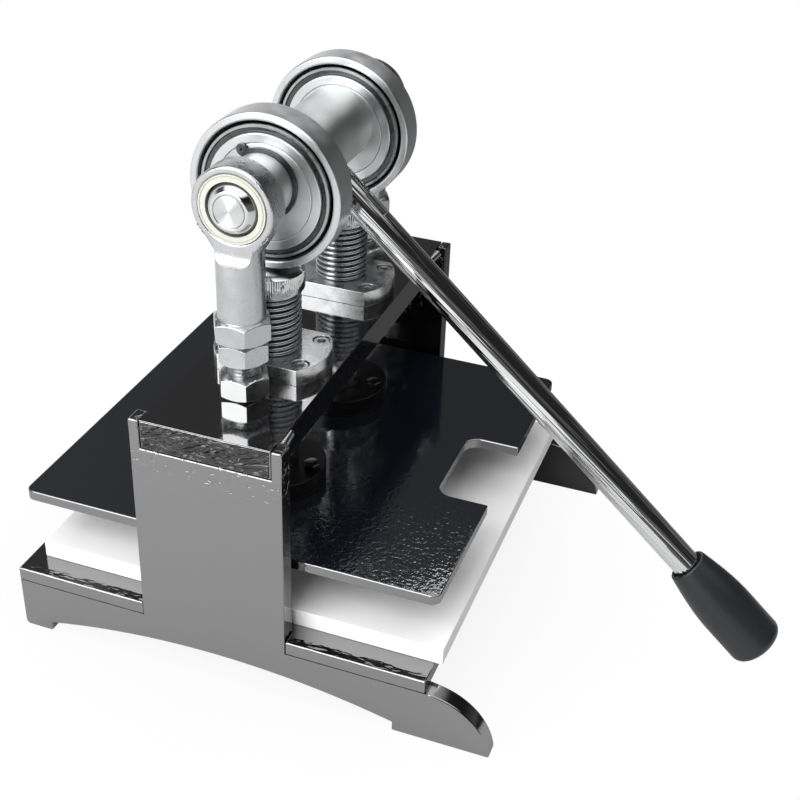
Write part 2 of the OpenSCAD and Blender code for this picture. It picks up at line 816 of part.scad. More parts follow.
// Moulded grip, swelling from its neck, with a domed end
module lever_grip() {
    neck_r = grip_neck_d / 2;
    tip_r = grip_d / 2;
    round_steps = 8;
    round_turn = acos(tip_aside / (grip_end_r - grip_round));
    color("#222427")
        along_lever()
            translate([0, 0, grip_z])
                difference() {
                    rotate_extrude()
                        polygon(concat(
                            [[0, 0]],
                            [for (i = [0 : round_steps])
                                let (a = 90 * i / round_steps)
                                [neck_r + (tip_r - neck_r) * sin(a), grip_swell_l * i / round_steps]],
                            [for (i = [0 : round_steps])
                                let (a = round_turn * i / round_steps)
                                [tip_aside + grip_round * cos(a), grip_l - tip_inset + grip_round * sin(a)]],
                            [for (i = [1 : round_steps])
                                let (a = round_turn + (90 - round_turn) * i / round_steps)
                                [grip_end_r * cos(a), grip_l - grip_end_r + grip_end_r * sin(a)]]
                        ));
                    translate([0, 0, -eps]) cylinder(d = lever_d + 2 * running_gap, h = grip_bore_depth + eps);
                    translate([0, 0, -eps]) cylinder(d = lever_d + 2 * grip_mouth_gap, h = grip_recess + eps);
                }
}

place() end_plate(-1);  // left_end_plate
place() end_plate(1);  // right_end_plate
place() crossbar();
place() base_plate();
place() cutting_board();
place() platen();
place() guide_bush(-1);  // left_guide_bush
place() guide_bush(1);  // right_guide_bush
place() bush_screws();
place() guide_rod(-1);  // left_guide_rod
place() guide_rod(1);  // right_guide_rod
place() foot_flange(-1);  // left_foot_flange
place() foot_flange(1);  // right_foot_flange
place() flange_bolts();
place() thrust_cap(-1);  // left_thrust_cap
place() thrust_cap(1);  // right_thrust_cap
place() return_spring(-1);  // left_return_spring
place() return_spring(1);  // right_return_spring
place() main_shaft();
place() eccentric(-1);  // left_eccentric
place() eccentric(1);  // right_eccentric
place() bearing_inner(-1);  // left_bearing_inner
place() bearing_inner(1);  // right_bearing_inner
place() bearing_outer(-1);  // left_bearing_outer
place() bearing_outer(1);  // right_bearing_outer
place() bearing_shields(-1);  // left_bearing_shields
place() bearing_shields(1);  // right_bearing_shields
place() bearing_balls(-1);  // left_bearing_balls
place() bearing_balls(1);  // right_bearing_balls
place() bearing_cage(-1);  // left_bearing_cage
place() bearing_cage(1);  // right_bearing_cage
place() circlip(-1);  // left_circlip
place() circlip(1);  // right_circlip
place() rod_end(-1);  // left_rod_end
place() rod_end(1);  // right_rod_end
place() rod_end_liner(-1);  // left_rod_end_liner
place() rod_end_liner(1);  // right_rod_end_liner
place() rod_end_ball(-1);  // left_rod_end_ball
place() rod_end_ball(1);  // right_rod_end_ball
place() jam_nut(-1);  // left_jam_nut
place() jam_nut(1);  // right_jam_nut
place() seat_nut(-1);  // left_seat_nut
place() seat_nut(1);  // right_seat_nut
place() anchor_bolt(-1);  // left_anchor_bolt
place() anchor_bolt(1);  // right_anchor_bolt
place() lever_rod();
place() lever_grip();
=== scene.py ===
import math

import bmesh
import bpy
from mathutils import Matrix, Vector


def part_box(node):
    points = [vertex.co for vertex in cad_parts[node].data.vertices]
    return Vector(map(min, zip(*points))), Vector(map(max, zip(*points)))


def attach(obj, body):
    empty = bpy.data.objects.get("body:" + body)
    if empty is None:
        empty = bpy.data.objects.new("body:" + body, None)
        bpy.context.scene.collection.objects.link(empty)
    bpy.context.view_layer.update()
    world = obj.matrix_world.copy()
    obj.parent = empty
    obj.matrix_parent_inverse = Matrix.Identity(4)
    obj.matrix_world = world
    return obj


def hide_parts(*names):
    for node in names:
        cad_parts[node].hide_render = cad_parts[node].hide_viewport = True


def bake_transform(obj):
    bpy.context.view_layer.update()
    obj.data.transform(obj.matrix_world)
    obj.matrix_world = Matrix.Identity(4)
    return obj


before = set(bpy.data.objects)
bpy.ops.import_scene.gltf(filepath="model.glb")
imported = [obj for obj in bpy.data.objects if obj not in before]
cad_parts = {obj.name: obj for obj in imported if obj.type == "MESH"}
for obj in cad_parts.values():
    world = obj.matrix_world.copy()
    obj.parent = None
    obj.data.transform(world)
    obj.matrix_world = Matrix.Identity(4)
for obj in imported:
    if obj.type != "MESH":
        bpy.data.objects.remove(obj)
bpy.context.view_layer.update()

# Camera
# A tripod view from the left of the operator, a little above the machine,
# with the lens and the tilt that the studio picture was taken with.
shaft_y = 0.5 * (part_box("main_shaft")[0].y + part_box("main_shaft")[1].y)
azimuth, elevation, roll = math.radians(71.21), math.radians(31.78), math.radians(2.33)
sight = Vector((
    math.sin(azimuth) * math.cos(elevation),
    math.cos(azimuth) * math.cos(elevation),
    -math.sin(elevation)))
level = Vector((math.cos(azimuth), -math.sin(azimuth), 0))
upward = level.cross(sight)
picture_x = level * math.cos(roll) + upward * math.sin(roll)
picture_y = upward * math.cos(roll) - level * math.sin(roll)
aim_height, distance, shift_right, shift_up = 0.09225, 0.7673, 0.05252, 0.0095
stand = Vector((0, shaft_y, aim_height)) - sight * distance
stand += picture_x * shift_right + picture_y * shift_up
camera = bpy.data.objects.new("studio_camera", bpy.data.cameras.new("studio_camera"))
camera.data.sensor_width = 36
camera.data.lens = 59.52
camera.data.clip_end = 100
facing = Matrix((picture_x, picture_y, -sight)).transposed().to_4x4()
camera.matrix_world = Matrix.Translation(stand) @ facing
bpy.context.scene.collection.objects.link(camera)
bpy.context.scene.camera = camera

# End plates
# Two steel plates, each an upright and a foot in one piece, flame cut and ground.
# They are welded to the crossbar and the base plate and coated gloss black.
sharp_angle = math.radians(38)


def linear(code):
    """An sRGB hex colour as linear red, green, blue and alpha."""
    parts = [int(code[i:i + 2], 16) / 255 for i in (1, 3, 5)]
    curve = [c / 12.92 if c <= 0.04045 else ((c + 0.055) / 1.055) ** 2.4 for c in parts]
    return (*curve, 1.0)


def new_finish(name, **sockets):
    """A material with these values on its shader, and its node tree and shader."""
    material = bpy.data.materials.new(name)
    material.use_nodes = True
    shader = material.node_tree.nodes["Principled BSDF"]
    for socket, value in sockets.items():
        shader.inputs[socket.replace("_", " ")].default_value = value
    return material, material.node_tree, shader


def add_node(tree, kind, settings=None, links=None):
    """A node with its settings, on sockets or on itself, and its links from other sockets."""
    node = tree.nodes.new(kind)
    for key, value in (settings or {}).items():
        if isinstance(key, int) or key in node.inputs:
            node.inputs[key].default_value = value
        else:
            setattr(node, key, value)
    for key, source in (links or {}).items():
        tree.links.new(source, node.inputs[key])
    return node


def vary_gloss(tree, shader, pattern, smooth, rough):
    """Lets the roughness follow a pattern, from smooth to rough."""
    haze = add_node(
        tree, "ShaderNodeMapRange",
        {"From Min": 0.3, "From Max": 0.7, "To Min": smooth, "To Max": rough},
        {"Value": pattern.outputs["Fac"]})
    tree.links.new(haze.outputs[0], shader.inputs["Roughness"])


def keep_piece(name, bm, finish, body):
    """Makes the mesh an object with its finish, smooth up to sharp edges, riding on its body."""
    mesh = bpy.data.meshes.new(name)
    bm.to_mesh(mesh)
    bm.free()
    for layer in ("custom_normal", "sharp_edge", "sharp_face"):
        if layer in mesh.attributes:
            mesh.attributes.remove(mesh.attributes[layer])
    mesh.shade_smooth()
    mesh.set_sharp_from_angle(angle=sharp_angle)
    mesh.materials.append(finish)
    piece = bpy.data.objects.new(name, mesh)
    bpy.context.scene.collection.objects.link(piece)
    if body:
        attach(piece, body)
    return piece


def ease_edges(piece, width, segments=3, marked=False):
    """Rounds the piece's sharp or marked edges, as a grinder and a thick coat leave them."""
    bevel = piece.modifiers.new("eased_edges", "BEVEL")
    bevel.width = width
    bevel.segments = segments
    bevel.limit_method = "WEIGHT" if marked else "ANGLE"
    bevel.angle_limit = sharp_angle
    bevel.use_clamp_overlap = False
    bevel.harden_normals = True
    return piece


def eased_copy(node, finish, body, width, segments=3, chosen=None, shaped=None):
    """A copy of a node with its flat faces joined and its edges eased, in the node's place.

    Chosen gives an edge's share of the width from its lower and upper height.
    Shaped works on the joined faces before the edges are eased."""
    bm = bmesh.new()
    bm.from_mesh(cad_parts[node].data)
    bmesh.ops.remove_doubles(bm, verts=bm.verts, dist=2e-6)
    bmesh.ops.dissolve_limit(bm, angle_limit=math.radians(0.4), verts=bm.verts, edges=bm.edges)
    if shaped:
        shaped(bm)
    if chosen:
        mark = bm.edges.layers.float.new("bevel_weight_edge")
        for edge in bm.edges:
            heights = [v.co.z for v in edge.verts]
            sharp = edge.calc_face_angle(0) > sharp_angle
            edge[mark] = float(sharp * chosen(min(heights), max(heights)))
    piece = keep_piece(node + "_eased", bm, finish, body)
    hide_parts(node)
    return ease_edges(piece, width, segments, bool(chosen))


# Gloss black enamel: thick and mirror smooth, with orange peel of about 1.5 mm and a slow
# waviness of about 14 mm that bends what it mirrors. It is pitted near the top weld and has a few
# small chips. The index is high, because the coat mirrors more than a quarter of the light.
# The spray reached the inner faces less, and the thin coat there mirrors little.
wave_share, chip_r = 9.0, 0.026
enamel, tree, shader = new_finish("gloss_black_enamel")
place = add_node(tree, "ShaderNodeTexCoord")
peel = add_node(
    tree, "ShaderNodeTexNoise", {"Scale": 1 / 0.0030, "Detail": 1.5},
    {"Vector": place.outputs["Object"]})
wave = add_node(
    tree, "ShaderNodeTexNoise", {"Scale": 1 / 0.028, "Detail": 0.0},
    {"Vector": place.outputs["Object"]})
relief = add_node(
    tree, "ShaderNodeMath", {"operation": "MULTIPLY_ADD", 1: wave_share},
    {0: wave.outputs["Fac"], 2: peel.outputs["Fac"]})
bump = add_node(
    tree, "ShaderNodeBump", {"Strength": 0.10, "Distance": 0.00010}, {"Height": relief.outputs[0]})
spots = add_node(
    tree, "ShaderNodeTexNoise", {"Scale": 1 / 0.0048, "Detail": 2.0, "Distortion": 0.8},
    {"Vector": place.outputs["Object"]})
pits = add_node(
    tree, "ShaderNodeMapRange", {"From Min": 0.585, "From Max": 0.645, "To Max": -1.0},
    {"Value": spots.outputs["Fac"]})
up = add_node(tree, "ShaderNodeSeparateXYZ", links={0: place.outputs["Object"]})
off_middle = add_node(tree, "ShaderNodeMath", {"operation": "ABSOLUTE"}, {0: up.outputs["X"]})
inner_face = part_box("right_end_plate")[0].x
full_coat = add_node(
    tree, "ShaderNodeMapRange",
    {"From Min": inner_face + 0.0002, "From Max": inner_face + 0.0010,
     "To Min": 1.65, "To Max": 3.25},
    {"Value": off_middle.outputs[0]})
tree.links.new(full_coat.outputs[0], shader.inputs["IOR"])
near_weld = add_node(
    tree, "ShaderNodeMapRange", {"From Min": 0.095, "From Max": 0.150, "To Max": 0.7},
    {"Value": up.outputs["Z"]})
pitted = add_node(
    tree, "ShaderNodeBump", {"Distance": 0.00045},
    {"Height": pits.outputs[0], "Strength": near_weld.outputs[0], "Normal": bump.outputs[0]})
vary_gloss(tree, shader, wave, smooth=0.05, rough=0.10)
cells = add_node(
    tree, "ShaderNodeTexVoronoi", {"Scale": 1 / 0.016, "Randomness": 1.0},
    {"Vector": place.outputs["Object"]})
fleck = add_node(
    tree, "ShaderNodeMath", {"operation": "LESS_THAN", 1: chip_r}, {0: cells.outputs["Distance"]})
chipped = add_node(
    tree, "ShaderNodeMix", {"data_type": "RGBA", 6: linear("#0b0b0d"), 7: linear("#c9cacb")},
    {0: fleck.outputs[0]})
tree.links.new(chipped.outputs[2], shader.inputs["Base Color"])
tree.links.new(pitted.outputs[0], shader.inputs["Normal"])

shoulder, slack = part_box("base_plate")[0].z, 0.0002
for side in ("left", "right"):
    eased_copy(
        side + "_end_plate", enamel, "frame", width=0.0009,
        chosen=lambda low, high: high - low > slack or abs(low - shoulder) > slack)

# Crossbar
# A thick flat bar between the end plates. Its sawn ends show in their outer faces,
# set in a shallow groove that the weld was ground back to.

# The same enamel over saw marks: it is thinner and duller there, and mirrors less.
end_haze = 0.16
crossbar_enamel, tree, shader = new_finish(
    "gloss_black_enamel_over_sawn_ends", Base_Color=linear("#0b0b0d"))
place = add_node(tree, "ShaderNodeTexCoord")
peel = add_node(
    tree, "ShaderNodeTexNoise", {"Scale": 1 / 0.0030, "Detail": 1.5},
    {"Vector": place.outputs["Object"]})
saw_turn = add_node(
    tree, "ShaderNodeMapping",
    {"vector_type": "TEXTURE", "Rotation": (math.radians(-16), 0, 0), "Scale": (1, 4.0, 1)},
    {"Vector": place.outputs["Object"]})
saw_marks = add_node(
    tree, "ShaderNodeTexNoise", {"Scale": 1 / 0.0040, "Detail": 1.5, "Distortion": 2.0},
    {"Vector": saw_turn.outputs[0]})
along = add_node(tree, "ShaderNodeSeparateXYZ", links={0: place.outputs["Object"]})
reach = add_node(tree, "ShaderNodeMath", {"operation": "ABSOLUTE"}, {0: along.outputs["X"]})
at_end = add_node(
    tree, "ShaderNodeMapRange", {"From Min": 0.1272, "From Max": 0.1277},
    {"Value": reach.outputs[0]})
peel_bump = add_node(
    tree, "ShaderNodeBump", {"Strength": 0.10, "Distance": 0.00010},
    {"Height": peel.outputs["Fac"]})
thin_coat = add_node(
    tree, "ShaderNodeMapRange", {"To Min": 3.25, "To Max": 1.75}, {"Value": at_end.outputs[0]})
tree.links.new(thin_coat.outputs[0], shader.inputs["IOR"])
saw_bump = add_node(
    tree, "ShaderNodeBump", {"Distance": 0.0085},
    {"Height": saw_marks.outputs["Fac"], "Strength": at_end.outputs[0],
     "Normal": peel_bump.outputs[0]})
tree.links.new(saw_bump.outputs[0], shader.inputs["Normal"])
haze = add_node(
    tree, "ShaderNodeMapRange", {"From Min": 0.3, "From Max": 0.7, "To Min": 0.04, "To Max": 0.09},
    {"Value": peel.outputs["Fac"]})
dulled = add_node(
    tree, "ShaderNodeMath", {"operation": "MULTIPLY_ADD", 1: end_haze},
    {0: at_end.outputs[0], 2: haze.outputs[0]})
tree.links.new(dulled.outputs[0], shader.inputs["Roughness"])

groove_w, groove_d, groove_wall, end_slack = 0.0008, 0.0008, 0.00003, 0.0001
bar_low, bar_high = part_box("crossbar")


def grooved(bm):
    """Cuts the groove round both sawn ends: a sunk rim, with the sawn face standing in it."""
    square_on = [f for f in bm.faces if abs(f.normal.x) > 0.99]
    ends = [f for f in square_on if abs(f.calc_center_median().x) > bar_high.x - end_slack]
    for face in ends:
        bmesh.ops.translate(bm, verts=face.verts, vec=(-groove_d * face.normal.x, 0, 0))
    bmesh.ops.inset_region(bm, faces=ends, thickness=groove_w, use_even_offset=True)
    bmesh.ops.inset_region(
        bm, faces=ends, thickness=groove_wall, depth=groove_d, use_even_offset=True)


eased_copy("crossbar", crossbar_enamel, "frame", width=0.0003, shaped=grooved)

# Weld beads
# Short runs of weld metal along the crossbar's long faces where it leaves the end plates,
# one small puddle after the other, under the same black coat.
bead_count, bead_pitch, bead_start, bead_drop = 8, 0.0019, 0.0008, 0.0042
bead_half_l, bead_height, first_bulge, bulge_step = 0.0013, 0.0050, 0.0032, 0.0002
bm = bmesh.new()
for along, across in ((a, b) for a in (-1, 1) for b in (bar_low.y, bar_high.y)):
    for count in range(bead_count):
        bead_x = along * (inner_face - bead_start - count * bead_pitch)
        spot = Matrix.Translation((bead_x, across, bar_high.z - bead_drop))
        bulge = first_bulge - bulge_step * count
        puddle = spot @ Matrix.Diagonal((bead_half_l, bulge, 0.5 * bead_height, 1))
        bmesh.ops.create_uvsphere(bm, u_segments=16, v_segments=10, radius=1.0, matrix=puddle)
keep_piece("weld_beads", bm, crossbar_enamel, "frame")

# Base plate
# A flat plate welded on the shoulders of both feet, notched round the uprights.
# Its side edges were ground by hand, so the coat ripples there.

# The same enamel over hand ground edges: a flat mirror in the middle, ripples at both sides.
base_enamel, tree, shader = new_finish(
    "gloss_black_enamel_over_ground_edges", Base_Color=linear("#0b0b0d"), IOR=3.25)
place = add_node(tree, "ShaderNodeTexCoord")
peel = add_node(
    tree, "ShaderNodeTexNoise", {"Scale": 1 / 0.0030, "Detail": 1.5},
    {"Vector": place.outputs["Object"]})
stretch = add_node(
    tree, "ShaderNodeMapping", {"Scale": (1.7, 0.55, 1)}, {"Vector": place.outputs["Object"]})
ripple = add_node(
    tree, "ShaderNodeTexNoise", {"Scale": 1 / 0.0062, "Detail": 2.0},
    {"Vector": stretch.outputs[0]})
along = add_node(tree, "ShaderNodeSeparateXYZ", links={0: place.outputs["Object"]})
reach = add_node(tree, "ShaderNodeMath", {"operation": "ABSOLUTE"}, {0: along.outputs["X"]})
at_edge = add_node(
    tree, "ShaderNodeMapRange", {"From Min": 0.1205, "From Max": 0.1270, "To Max": 0.85},
    {"Value": reach.outputs[0]})
peel_bump = add_node(
    tree, "ShaderNodeBump", {"Strength": 0.10, "Distance": 0.00010},
    {"Height": peel.outputs["Fac"]})
ripple_bump = add_node(
    tree, "ShaderNodeBump", {"Distance": 0.0010},
    {"Height": ripple.outputs["Fac"], "Strength": at_edge.outputs[0],
     "Normal": peel_bump.outputs[0]})
tree.links.new(ripple_bump.outputs[0], shader.inputs["Normal"])
vary_gloss(tree, shader, peel, smooth=0.05, rough=0.10)

eased_copy("base_plate", base_enamel, "frame", width=0.0009)

# Cutting board
# A loose slab of white polyethylene on the base plate, sawn and with its edges just scraped.
# It takes the edge of the die, so it is softer than steel and marks easily.

# White polyethylene: matt and slightly cloudy, with fine saw lines along its length.
polyethylene, tree, shader = new_finish("white_polyethylene", Roughness=0.6, IOR=1.51)
place = add_node(tree, "ShaderNodeTexCoord")
cloud = add_node(
    tree, "ShaderNodeTexNoise", {"Scale": 1 / 0.045, "Detail": 3.0},
    {"Vector": place.outputs["Object"]})
tint = add_node(
    tree, "ShaderNodeMix", {"data_type": "RGBA", 6: linear("#f7f7f7"), 7: linear("#fcfcfc")},
    {0: cloud.outputs["Fac"]})
tree.links.new(tint.outputs[2], shader.inputs["Base Color"])
saw_lines = add_node(
    tree, "ShaderNodeMapping", {"Scale": (0.02, 1, 1)}, {"Vector": place.outputs["Object"]})
grain = add_node(
    tree, "ShaderNodeTexNoise", {"Scale": 1 / 0.0016, "Detail": 2.0},
    {"Vector": saw_lines.outputs[0]})
bump = add_node(
    tree, "ShaderNodeBump", {"Strength": 0.12, "Distance": 0.00012},
    {"Height": grain.outputs["Fac"]})
tree.links.new(bump.outputs[0], shader.inputs["Normal"])

eased_copy("cutting_board", polyethylene, "board", width=0.0005)

# Platen
# The steel pressure plate with the lever notch in its front edge, hung from the guide rods.
# Its coat has run thick towards one front corner, with a coarser orange peel there.

# Blue black enamel: a deep mirror that breaks into sparks where the peel is coarse.
platen_enamel, tree, shader = new_finish(
    "gloss_black_enamel_coarse_peel", Base_Color=linear("#11141c"), IOR=3.1)
place = add_node(tree, "ShaderNodeTexCoord")
peel = add_node(
    tree, "ShaderNodeTexNoise", {"Scale": 1 / 0.0022, "Detail": 1.0},
    {"Vector": place.outputs["Object"]})
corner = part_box("platen")[0]
off_corner = add_node(
    tree, "ShaderNodeVectorMath", {"operation": "DISTANCE", 1: tuple(corner)},
    {0: place.outputs["Object"]})
thick = add_node(
    tree, "ShaderNodeMapRange",
    {"interpolation_type": "SMOOTHSTEP", "From Min": 0.03, "From Max": 0.13,
     "To Min": 0.75, "To Max": 0.10},
    {"Value": off_corner.outputs["Value"]})
bump = add_node(
    tree, "ShaderNodeBump", {"Distance": 0.00034},
    {"Height": peel.outputs["Fac"], "Strength": thick.outputs[0]})
tree.links.new(bump.outputs[0], shader.inputs["Normal"])
vary_gloss(tree, shader, peel, smooth=0.05, rough=0.09)

eased_copy("platen", platen_enamel, "platen", width=0.0007)

# Guide bushes and their screws
# Flanged steel bushes pressed through the crossbar, each flange cut flat on two sides.
# Four socket head screws sink into counterbores in each flange.

# Bright nickel plate: a hazy mirror with smears and fine scratches.
nickel, tree, shader = new_finish("bright_nickel_plate", Base_Color=linear("#d6d7d8"), Metallic=1.0)
place = add_node(tree, "ShaderNodeTexCoord")
smear = add_node(
    tree, "ShaderNodeTexNoise", {"Scale": 1 / 0.006, "Detail": 4.0},
    {"Vector": place.outputs["Object"]})
vary_gloss(tree, shader, smear, smooth=0.20, rough=0.36)
scratch = add_node(
    tree, "ShaderNodeTexNoise", {"Scale": 1 / 0.0016, "Detail": 2.0},
    {"Vector": place.outputs["Object"]})
bump = add_node(
    tree, "ShaderNodeBump", {"Strength": 0.12, "Distance": 0.00008},
    {"Height": scratch.outputs["Fac"]})
tree.links.new(bump.outputs[0], shader.inputs["Normal"])

# Satin zinc plate: bright and cloudy, with a fine sparkle from the shot blasted steel under it.
zinc, tree, shader = new_finish("satin_zinc_plate", Metallic=1.0)
place = add_node(tree, "ShaderNodeTexCoord")
cloud = add_node(
    tree, "ShaderNodeTexNoise", {"Scale": 1 / 0.009, "Detail": 5.0},
    {"Vector": place.outputs["Object"]})
speck = add_node(
    tree, "ShaderNodeTexNoise", {"Scale": 1 / 0.0014, "Detail": 1.5},
    {"Vector": place.outputs["Object"]})
tint = add_node(
    tree, "ShaderNodeMix", {"data_type": "RGBA", 6: linear("#b0b2b4"), 7: linear("#cfd0d1")},
    {0: cloud.outputs["Fac"]})
vary_gloss(tree, shader, cloud, smooth=0.22, rough=0.34)
bump = add_node(
    tree, "ShaderNodeBump", {"Strength": 0.45, "Distance": 0.00022},
    {"Height": speck.outputs["Fac"]})
tree.links.new(tint.outputs[2], shader.inputs["Base Color"])
tree.links.new(bump.outputs[0], shader.inputs["Normal"])

for side in ("left", "right"):
    eased_copy(side + "_guide_bush", nickel, "frame", width=0.0003)
eased_copy("bush_screws", zinc, "frame", width=0.0004, segments=2)

# Guide rods, foot flanges and their bolts
# Hardened and ground rods that stand on the platen in round coated flanges.
# Four small hexagon bolts clamp each flange.

# Ground steel: an even silver, softer than a mirror.
ground_steel, tree, shader = new_finish("ground_steel", Base_Color=linear("#c3c5c7"), Metallic=1.0)
place = add_node(tree, "ShaderNodeTexCoord")
cloud = add_node(
    tree, "ShaderNodeTexNoise", {"Scale": 1 / 0.010, "Detail": 4.0},
    {"Vector": place.outputs["Object"]})
vary_gloss(tree, shader, cloud, smooth=0.16, rough=0.28)

# Black oxide: a thin dark skin on steel, lightly oiled, worn to grey in places.
black_oxide, tree, shader = new_finish("black_oxide_steel", Metallic=1.0, Roughness=0.28)
place = add_node(tree, "ShaderNodeTexCoord")
wear = add_node(
    tree, "ShaderNodeTexNoise", {"Scale": 1 / 0.004, "Detail": 3.0},
    {"Vector": place.outputs["Object"]})
tint = add_node(
    tree, "ShaderNodeMix", {"data_type": "RGBA", 6: linear("#3a3b3e"), 7: linear("#6a6b6e")},
    {0: wear.outputs["Fac"]})
tree.links.new(tint.outputs[2], shader.inputs["Base Color"])

# Satin black paint: thin and soft edged, it mirrors little.
satin_black, tree, shader = new_finish("satin_black_paint", Base_Color=linear("#060608"), IOR=1.4)
place = add_node(tree, "ShaderNodeTexCoord")
spray = add_node(
    tree, "ShaderNodeTexNoise", {"Scale": 1 / 0.002, "Detail": 3.0},
    {"Vector": place.outputs["Object"]})
vary_gloss(tree, shader, spray, smooth=0.28, rough=0.42)

for side in ("left", "right"):
    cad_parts[side + "_guide_rod"].material_slots[0].material = ground_steel
    eased_copy(side + "_foot_flange", satin_black, "platen", width=0.0005)
eased_copy("flange_bolts", black_oxide, "platen", width=0.00012, segments=2)

# Thrust caps
# Turned steel caps on the guide rods, with a straight knurl round the skirt
# and a polished top that the bearing rolls on.

# Polished steel: a near mirror with faint smears.
polished, tree, shader = new_finish("polished_steel", Base_Color=linear("#cfd0d1"), Metallic=1.0)
place = add_node(tree, "ShaderNodeTexCoord")
smear = add_node(
    tree, "ShaderNodeTexNoise", {"Scale": 1 / 0.007, "Detail": 4.0},
    {"Vector": place.outputs["Object"]})
vary_gloss(tree, shader, smear, smooth=0.05, rough=0.14)

ridges, depth, disc_r = 88, 0.00035, 0.0127
plain_h, edge, shoulder_h, top_chamfer = 0.0022, 0.0006, 0.0004, 0.0018
for side in ("left", "right"):
    low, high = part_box(side + "_thrust_cap")
    axis_x, axis_y = 0.5 * (low.x + high.x), 0.5 * (low.y + high.y)
    radius, knurl_top = 0.5 * (high.x - low.x), high.z - plain_h
    bm = bmesh.new()
    foot = Matrix.Translation((axis_x, axis_y, low.z))
    rim = bmesh.ops.create_circle(bm, segments=2 * ridges, radius=disc_r, matrix=foot)["verts"]
    levels = (
        (radius - edge, low.z), (radius, low.z + edge), (radius, knurl_top),
        (radius - edge, knurl_top + shoulder_h), (radius - top_chamfer, high.z), (disc_r, high.z))
    loop = list({e for v in rim for e in v.link_edges})
    for reach, height in levels:
        out = bmesh.ops.extrude_edge_only(bm, edges=loop)["geom"]
        loop = [g for g in out if isinstance(g, bmesh.types.BMEdge)]
        for v in (g for g in out if isinstance(g, bmesh.types.BMVert)):
            turn = math.atan2(v.co.y - axis_y, v.co.x - axis_x)
            tooth = round(turn / math.pi * ridges) % 2
            r = reach - depth * tooth * (reach == radius)
            v.co = Vector((axis_x + r * math.cos(turn), axis_y + r * math.sin(turn), height))
    bmesh.ops.contextual_create(bm, geom=loop)
    bmesh.ops.contextual_create(bm, geom=[e for e in bm.edges if e.is_boundary])
    bmesh.ops.recalc_face_normals(bm, faces=bm.faces)
    cap = keep_piece(side + "_knurled_cap", bm, polished, "platen")
    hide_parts(side + "_thrust_cap")

# Return springs
# Cold coiled wire with closed, ground ends, round each guide rod between the bush flange
# and the cap. They push the platen up again.

# Oiled spring wire: grey steel with thin bright lines along each coil.
spring_wire, tree, shader = new_finish(
    "oiled_spring_wire", Base_Color=linear("#a9abae"), Metallic=1.0)
place = add_node(tree, "ShaderNodeTexCoord")
draw = add_node(
    tree, "ShaderNodeTexNoise", {"Scale": 1 / 0.003, "Detail": 3.0},
    {"Vector": place.outputs["Object"]})
vary_gloss(tree, shader, draw, smooth=0.18, rough=0.28)

wire_d, wire_sides, coil_r, open_turns, steps = 0.0021, 14, 0.0139, 9, 32
ground_off, closed_rise = 0.1 * wire_d, 0.96 * wire_d
for side in ("left", "right"):
    low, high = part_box(side + "_return_spring")
    centre = 0.5 * sum(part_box(side + "_thrust_cap"), Vector())
    centre.z = low.z
    height = high.z - low.z
    bm = bmesh.new()
    start = Matrix.Translation(centre + Vector((coil_r, 0, ground_off)))
    start @= Matrix.Rotation(math.pi / 2, 4, "X")
    wire = bmesh.ops.create_circle(bm, segments=wire_sides, radius=wire_d / 2, matrix=start)
    geom = wire["verts"] + list({e for v in wire["verts"] for e in v.link_edges})
    open_rise = (height - 2 * ground_off - 2 * closed_rise) / open_turns
    for turns, rise in ((1, closed_rise), (open_turns, open_rise), (1, closed_rise)):
        coil = bmesh.ops.spin(
            bm, geom=geom, cent=centre, axis=(0, 0, 1), dvec=(0, 0, rise / steps),
            angle=2 * math.pi * turns, steps=steps * turns)
        geom = coil["geom_last"]
    for ground, way in ((low.z, -1), (high.z, 1)):
        everything = list(bm.verts) + list(bm.edges) + list(bm.faces)
        bmesh.ops.bisect_plane(
            bm, geom=everything, plane_co=(0, 0, ground), plane_no=(0, 0, way), clear_outer=True)
    bmesh.ops.holes_fill(bm, edges=[e for e in bm.edges if e.is_boundary])
    bmesh.ops.recalc_face_normals(bm, faces=bm.faces)
    spring = keep_piece(side + "_spring_coil", bm, spring_wire, None)
    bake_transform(spring)
    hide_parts(side + "_return_spring")

# Lever shaft and eccentrics
# A turned steel shaft, thick in the middle where the lever screws in. The eccentric
# sleeves are keyed on its seats and held by circlips.

# Turned steel: fine lathe rings draw each highlight out along the shaft.
turned_steel, tree, shader = new_finish(
    "turned_steel", Base_Color=linear("#d2d4d4"), Metallic=1.0, Anisotropic=0.8,
    Anisotropic_Rotation=0.25)
place = add_node(tree, "ShaderNodeTexCoord")
lathe_way = add_node(tree, "ShaderNodeTangent", {"direction_type": "RADIAL", "axis": "X"})
cloud = add_node(
    tree, "ShaderNodeTexNoise", {"Scale": 1 / 0.012, "Detail": 4.0},
    {"Vector": place.outputs["Object"]})
vary_gloss(tree, shader, cloud, smooth=0.36, rough=0.48)
tree.links.new(lathe_way.outputs[0], shader.inputs["Tangent"])

eased_copy("main_shaft", turned_steel, "shaft", width=0.0005)
for side in ("left", "right"):
    eased_copy(side + "_eccentric", turned_steel, "shaft", width=0.0005)
    eased_copy(
        side + "_circlip", black_oxide, "shaft", width=0.0003, segments=2)

# Ball bearings
# Sealed deep groove bearings on the eccentrics. The outer ring rolls on the caps,
# and a pressed steel shield covers the balls on each side.

